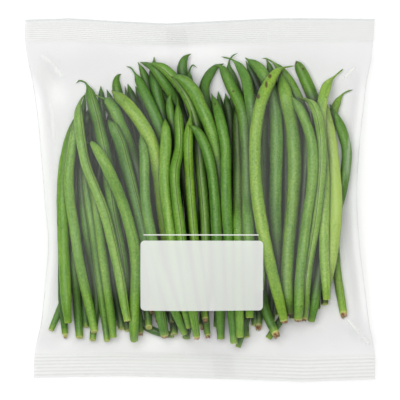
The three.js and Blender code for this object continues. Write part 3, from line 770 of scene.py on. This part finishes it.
def start_heights(x, y):
    """Height of the CAD bag's front over each place, to start the drape from."""
    tree = BVHTree.FromObject(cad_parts["film_bag"], bpy.context.evaluated_depsgraph_get())
    heights = np.full(x.shape, SEAL_HEIGHT)
    for place in np.ndindex(x.shape):
        hit = tree.ray_cast(Vector((x[place], y[place], 0.1)), Vector((0, 0, -1)))[0]
        if hit:
            heights[place] = hit.z
    return heights


def drape(heights, lowest, fixed):
    """Draws the film smooth over the beans."""
    held = heights[fixed]
    for _ in range(DRAPE_ROUNDS):
        across = heights[1:-1, :-2] + heights[1:-1, 2:]
        along = heights[:-2, 1:-1] + heights[2:, 1:-1]
        heights[1:-1, 1:-1] = np.maximum((across + along) / 4, lowest[1:-1, 1:-1])
        heights[fixed] = held
    return heights


def crease_relief(x, y):
    """How far the creases lift the film."""
    relief = np.zeros_like(x)
    for x0, y0, x1, y1, width, height in CREASES:
        start, end = np.array((x0, y0)) * MM, np.array((x1, y1)) * MM
        way = end - start
        share = ((x - start[0]) * way[0] + (y - start[1]) * way[1]) / (way @ way)
        aside = ((x - start[0]) * way[1] - (y - start[1]) * way[0]) / np.linalg.norm(way)
        fade = np.sin(math.pi * np.clip(share, 0, 1)) ** 0.7
        relief += height * MM * fade * np.exp(-((aside / (width * MM)) ** 2))
    return relief


def gather_relief(x, y):
    """The soft gathers that run out from both bands, and the slow unevenness of slack film."""
    relief = np.zeros_like(x)
    for seal, way, strength in ((TOP_SEAL, -1, TOP_GATHER), (BOTTOM_SEAL, 1, BOTTOM_GATHER)):
        away = (y - seal) * way
        fade = np.clip(away / GATHER_START, 0, 1) * np.exp(-np.clip(away, 0, None) / GATHER_REACH)
        for length in GATHER_WAVES:
            shift = RNG.uniform(0, 2 * math.pi)
            slant = RNG.uniform(-0.4, 0.4)
            waves = np.cos(2 * math.pi * (x + slant * away) / (length * MM) + shift)
            relief += strength * MM * fade * waves * length / GATHER_WAVES[0]
    slack = np.array([noise.noise(Vector((px * 30, py * 22, 4.2))) for px, py in zip(x.flat, y.flat)])
    return relief + SLACK * slack.reshape(x.shape)


def band_ribs(x, y):
    """The ribs that the sealing jaws press across each band, faint in the middle of the lower one."""
    upper_place = (TOP_EDGE - y) / TOP_RIB_PITCH
    lower_place = (y - BOTTOM_EDGE) / BOTTOM_RIB_PITCH
    upper = np.where(y > TOP_SEAL, np.sin(2 * math.pi * upper_place), 0) * smoothstep(3, 5, upper_place)
    lower = np.where(y < BOTTOM_SEAL, np.sin(2 * math.pi * lower_place), 0)
    strength = FAINTNESS + (1 - FAINTNESS) * smoothstep(*FAINT_REACH, np.abs(x - FAINT_MIDDLE))
    return upper * TOP_RIB + lower * strength * BOTTOM_RIB


def film_heights(pods, x, y, shifted):
    """Heights of the film's front and back; shifted is y once the bag's edges are drawn in."""
    toward = toward_band(y)
    side = SIDE_HEIGHT + (SEAL_HEIGHT - SIDE_HEIGHT) * toward
    inward = from_side(x)
    outward = np.clip(SIDE_HEIGHT - inward, 0, SIDE_HEIGHT)
    fold = SIDE_HEIGHT - np.sqrt(SIDE_HEIGHT**2 - outward**2)
    back = np.maximum(SEAL_HEIGHT * toward, fold * (1 - toward)) + BACK_LIFT * (1 - toward)
    band = in_band(y)
    back[band] = SEAL_HEIGHT - FILM_LAYER
    edge = np.zeros_like(band)
    edge[:, [0, -1]] = True
    front = start_heights(x, shifted)
    front[band] = SEAL_HEIGHT + FILM_LAYER
    front[edge] = back[edge] = side[edge]
    lowest = np.maximum(bean_ceiling(pods, x, shifted), back + FILM_LAYER)
    front = drape(front, lowest, band | edge)
    loose = np.clip(inward / RELIEF_MARGIN, 0, 1) * ~band
    relief = (crease_relief(x, shifted) + gather_relief(x, y)) * loose
    front = np.maximum(front + relief, np.where(band | edge, front, lowest))
    front = front + AIR * smoothstep(0, AIR_MARGIN, inward) * (1 - toward)
    ribs = band_ribs(x, y)
    return front + ribs, back + ribs


def film_tone_and_shade(x, y):
    """How grey the film is at each of its points: its own tone, with painted shade and painted light over it.
    """
    tones = np.full_like(x, TONE)
    for middle_x, middle_y, half_width, half_length, strength in PAINTED_SHADE_PATCHES:
        across, along = (x / MM - middle_x) / half_width, (y / MM - middle_y) / half_length
        tones += strength * np.exp(-(across**2) - along**2)
    inward = from_side(x) / MM
    # painted shade along the fold, painted light in the strip outside it
    fold = FOLD_SHADE * np.exp(-(((inward - FOLD_PLACE) / FOLD_WIDTH) ** 2))
    strip = STRIP_LIGHT * smoothstep(STRIP_WIDTH, STRIP_CORE, inward)
    return tones + smoothstep(WAIST_END, WAIST_CORE, np.abs(y / MM)) * (fold - strip)


def film_attributes(x, y):
    """What the film's material needs to know at each point of the front; it is the same at the back."""
    top_rim = smoothstep(TOP_RIM, TOP_RIM_CORE, TOP_EDGE - y)
    bottom_rim = BOTTOM_RIM_SHARE * smoothstep(BOTTOM_RIM, 0, y - BOTTOM_EDGE)
    ribs = band_ribs(x, y)
    return {
        "seal": np.where(in_band(y), 1.0, 0.0),
        "rim": np.maximum(top_rim, bottom_rim),
        "flap": np.zeros_like(x),
        "tone": film_tone_and_shade(x, y),
        "rib": 0.5 + 0.5 * np.where(y > 0, ribs / TOP_RIB, ribs / BOTTOM_RIB),
    }


def film_faces(front_id, back_id):
    """Faces of the front, the back and both end edges, between the points with these numbers."""
    faces = []
    for ids, way in ((front_id, 1), (back_id, -1)):
        quads = np.stack([ids[:-1, :-1], ids[:-1, 1:], ids[1:, 1:], ids[1:, :-1]], -1).reshape(-1, 4)
        faces += quads[:, ::way].tolist()
    for row, way in ((0, 1), (-1, -1)):
        over, under = front_id[row], back_id[row]
        for k in range(len(over) - 1):
            loop = [over[k], under[k], under[k + 1], over[k + 1]]
            faces.append(list(dict.fromkeys(loop))[::way])
    return faces


def build_film(pods):
    x, y = film_grid()
    shifted = y + edge_shift(x, y)
    front, back = film_heights(pods, x, y, shifted)
    rows, columns = x.shape
    inner = np.s_[:, 1:-1]  # the back shares its outermost columns with the front
    front_points = np.stack([x, shifted, front], -1).reshape(-1, 3)
    back_points = np.stack([x[inner], shifted[inner], back[inner]], -1).reshape(-1, 3)
    front_id = np.arange(rows * columns).reshape(rows, columns)
    back_id = front_id.copy()
    back_id[inner] = rows * columns + np.arange(rows * (columns - 2)).reshape(rows, columns - 2)
    fields = film_attributes(x, y)
    attributes = {key: np.concatenate([field.ravel(), field[inner].ravel()]) for key, field in fields.items()}
    material = film_material()
    points = np.concatenate([front_points, back_points])
    made = mesh_object("film", points, film_faces(front_id, back_id), attributes, material)
    cut_vents(made)
    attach(made, "root")
    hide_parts("film_bag")
    build_seam(material)


def build_seam(material):
    """The back seam's flap, which lies flat against the back from band to band and leans a little."""
    places = np.linspace(FLAP_START, FLAP_END, FLAP_ROWS)
    toward = toward_band(places)
    height = SEAL_HEIGHT * toward + BACK_LIFT * (1 - toward)
    height[in_band(places)] = SEAL_HEIGHT - FILM_LAYER
    y = places + edge_shift(0, places)
    points, faces = [], []
    for k in range(FLAP_ROWS):
        for aside, drop in FLAP_CORNERS:
            points.append((SEAM_LEAN * places[k] + aside, y[k], height[k] - drop * MM - FILM_LAYER / 2))
    corners = len(FLAP_CORNERS)
    for k in range(FLAP_ROWS - 1):
        for corner in range(corners):
            a, b = corners * k + corner, corners * k + (corner + 1) % corners
            faces.append((a, b, b + corners, a + corners))
    faces += [tuple(reversed(range(corners))), tuple(range(len(points) - corners, len(points)))]
    attributes = {key: np.zeros(len(points)) for key in ("seal", "rim", "tone", "rib")}
    attributes["flap"] = np.repeat(np.where(in_band(places), BANDED_FLAP, 1.0), corners)
    made = mesh_object("back_seam", points, faces, attributes, material)
    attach(made, "root")


def cut_vents(made):
    """Opens the breathing holes in the back, with round rims."""
    bm = bmesh.new()
    bm.from_mesh(made.data)
    for place in VENT_PLACES:
        centre = Vector(place) * MM
        low = [v for v in bm.verts if v.co.z < BACK_HEIGHT]
        near = [v for v in low if (v.co.to_2d() - centre).length < VENT_CUT * VENT_RADIUS]
        bmesh.ops.delete(bm, geom=near, context="VERTS")
        rim = {v for e in bm.edges if e.is_boundary for v in e.verts}
        for v in rim:
            way = v.co.to_2d() - centre
            if way.length < VENT_RIM * VENT_RADIUS:
                v.co.x, v.co.y = centre + way.normalized() * VENT_RADIUS
    bm.to_mesh(made.data)
    bm.free()


def film_material():
    material, n = new_material("bag_film")
    place = n.add("TexCoord").outputs["Object"]
    seal, rim, flap = n.attribute("seal"), n.attribute("rim"), n.attribute("flap")
    ripples = n.noise(140.0, 3.0, place)
    bump = n.add("Bump", {"Height": ripples, "Strength": 0.3, "Distance": 0.6 * MM}).outputs[0]
    facing = n.add("LayerWeight", {"Blend": 0.5, "Normal": bump}).outputs["Facing"]
    # the clear film, which mirrors more the flatter it is seen, but hardly on the flap
    shine = n.math("ADD", n.math("MULTIPLY", n.math("POWER", facing, 5.0), 0.85), FILM_SHINE)
    shine = n.math("MULTIPLY", shine, n.math("SUBTRACT", 1.0, n.math("MULTIPLY", flap, 0.95)))
    roughness = n.ramp(ripples, 0.3, 0.7, 0.1, 0.2)
    gloss = n.add("BsdfGlossy", {"Color": (1, 1, 1, 1), "Roughness": roughness, "Normal": bump})
    uneven = n.math("MULTIPLY", n.math("SUBTRACT", n.noise(24.0, 2.0, place), 0.5), 0.5)
    grey = n.math("ADD", n.attribute("tone"), uneven, clamp=True)
    tint = n.mix(grey, srgb(*CLEAR_TINT), srgb(*GREY_TINT))
    tint = n.mix(seal, tint, n.mix(n.attribute("rib"), srgb(*BAND_TINTS[0]), srgb(*BAND_TINTS[1])))
    # painted shade along the outer edges
    tint = n.mix(rim, tint, srgb(*EDGE_SHADE_TINT))
    tint = n.mix(flap, tint, (1, 1, 1, 1))
    film = n.mix_shader(shine, n.add("BsdfTransparent", {"Color": tint}), gloss)
    # a milky haze: a trace all over and more in the bands; painted reflection in soft patches over the
    # beans, and painted highlights along the creases
    haze_and_highlight = n.ramp(ripples, 0.4, 0.8, 0.0, TRACE_MILKINESS)
    haze_and_highlight = n.math("ADD", haze_and_highlight, n.math("MULTIPLY", seal, BAND_MILKINESS))
    haze_and_highlight = n.math("ADD", haze_and_highlight, n.math("MULTIPLY", reflection_patches(n, place), PATCH_REFLECTION))
    haze_and_highlight = n.math("MAXIMUM", haze_and_highlight, gleams(n, place))
    film = n.mix_shader(haze_and_highlight, film, n.add("BsdfDiffuse", {"Color": srgb(*HAZE_AND_HIGHLIGHT_COLOUR)}))
    # the print
    printed = n.math("MULTIPLY", panel_mask(n, place), INK_COVER)
    film = n.mix_shader(printed, film, n.add("BsdfDiffuse", {"Color": srgb(*INK_COLOUR)}))
    n.surface(film)
    return material


def gleams(n, place):
    """How white the painted highlights along the creases make the front."""
    parts = n.parts(place)
    white = 0.0
    for x0, y0, x1, y1, half_width, strength in GLEAMS:
        way = Vector((x1 - x0, y1 - y0))
        ahead = way.normalized() / MM
        from_start = [n.math("SUBTRACT", parts[0], x0 * MM), n.math("SUBTRACT", parts[1], y0 * MM)]
        along = n.math("ADD", *(n.math("MULTIPLY", part, share) for part, share in zip(from_start, ahead)))
        turned = [n.math("MULTIPLY", part, share) for part, share in zip(from_start, ahead.yx)]
        aside = n.math("SUBTRACT", *turned)
        from_middle = n.math("ABSOLUTE", n.math("SUBTRACT", along, way.length / 2))
        ends = n.ramp(from_middle, 0.2 * way.length, 0.55 * way.length, strength, 0.0)
        line = n.ramp(n.math("ABSOLUTE", aside), 0.0, 2 * half_width, 1.0, 0.0)
        white = n.math("MAXIMUM", white, n.math("MULTIPLY", line, ends))
    return n.math("MULTIPLY", white, n.math("GREATER_THAN", parts[2], SEAL_HEIGHT))


def reflection_patches(n, place):
    """1 in the middle of each patch of painted reflection on the front, falling off softly."""
    parts = n.parts(place)
    haze_and_highlight = 0.0
    for patch in REFLECTION_PATCHES:
        across, along = n.offsets(parts, *patch)
        away = n.math("ADD", n.math("POWER", across, 4.0), n.math("POWER", along, 4.0))
        haze_and_highlight = n.math("ADD", haze_and_highlight, n.ramp(away, 0.3, 1.2, 1.0, 0.0))
    return n.math("MULTIPLY", haze_and_highlight, n.math("GREATER_THAN", parts[2], SIDE_HEIGHT))


def rounded_box(n, parts, middle, size, corner):
    """1 inside a rounded rectangle given in millimetres, 0 outside it."""
    over = []
    for axis in (0, 1):
        away = n.math("ABSOLUTE", n.math("SUBTRACT", parts[axis], middle[axis] * MM))
        over.append(n.math("MAXIMUM", n.math("SUBTRACT", away, (size[axis] / 2 - corner) * MM), 0.0))
    squares = [n.math("POWER", value, 2.0) for value in over]
    return n.math("LESS_THAN", n.math("SQRT", n.math("ADD", *squares)), corner * MM)


def panel_mask(n, place):
    """1 on the printed panel and the thin rule over it, on the front alone."""
    parts = n.parts(place)
    panel = rounded_box(n, parts, PANEL_MIDDLE, PANEL_SIZE, PANEL_CORNER)
    rule = rounded_box(n, parts, RULE_MIDDLE, RULE_SIZE, RULE_CORNER)
    on_front = n.math("GREATER_THAN", parts[2], PRINT_HEIGHT)
    return n.math("MULTIPLY", n.math("MAXIMUM", panel, rule), on_front)


# ---- floor, light and camera ----
def build_stage():
    material, n = new_material("floor_paper")
    colour = n.mix(n.ramp(n.noise(40.0), 0.3, 0.7), srgb(250, 250, 250), srgb(252, 252, 252))
    n.surface(n.add("BsdfDiffuse", {"Color": colour}))
    corners = [(x * FLOOR_HALF, y * FLOOR_HALF, 0) for x, y in ((-1, -1), (1, -1), (1, 1), (-1, 1))]
    floor = mesh_object("floor", corners, [(0, 1, 2, 3)], material=material)
    floor.location.z = -FLOOR_DROP


def build_lights():
    """Soft white light from all round, little of it from straight above, and a large soft lamp."""
    world = bpy.data.worlds.new("studio")
    world.use_nodes = True
    bpy.context.scene.world = world
    n = Nodes(world.node_tree)
    rise = n.parts(n.add("TexCoord").outputs["Generated"])[2]
    away = n.math("DIVIDE", n.math("ARCCOSINE", rise), math.pi / 2)
    sky = n.add("ValToRGB", {"Fac": away})
    elements = sky.color_ramp.elements
    for _ in SKY[2:]:
        elements.new(0.5)
    brightest = max(level for _, level in SKY)
    for element, (degrees, level) in zip(elements, SKY):
        element.position, element.color = degrees / 90, (*[level / brightest] * 3, 1)
    n.surface(n.add("Background", {"Color": sky.outputs[0], "Strength": brightest}), "OutputWorld")
    build_lamp("key", KEY_PLACE, KEY_SIZE, KEY_POWER).visible_glossy = False


def build_lamp(name, place, size, power):
    lamp = bpy.data.lights.new(name, "AREA")
    lamp.size, lamp.energy = size, power
    made = bpy.data.objects.new(name, lamp)
    made.location = place
    made.rotation_euler = Vector(place).to_track_quat("Z", "Y").to_euler()
    made.visible_camera = False
    bpy.context.scene.collection.objects.link(made)
    return made


def build_sheen(pieces):
    """A lamp that only the beans mirror, so that the film stays clear over them."""
    lamp = build_lamp("sheen", SHEEN_PLACE, SHEEN_SIZE, SHEEN_POWER)
    lamp.visible_diffuse = False
    beans = bpy.data.collections.new("beans")
    for piece in pieces:
        beans.objects.link(piece)
    lamp.light_linking.receiver_collection = beans


def build_camera():
    """Looks straight down."""
    data = bpy.data.cameras.new("camera")
    data.lens = LENS
    data.sensor_width = SENSOR
    data.clip_end = 20
    camera = bpy.data.objects.new("camera", data)
    camera.location = (0, 0, FOCUS_HEIGHT + FRAME_WIDTH * LENS / SENSOR)
    bpy.context.scene.collection.objects.link(camera)
    bpy.context.scene.camera = camera


build_camera()
build_lights()
build_stage()
pods = build_beans()
build_sheen([pod.piece for pod in pods])
build_film(pods)
bpy.context.scene.view_settings.view_transform = "Standard"
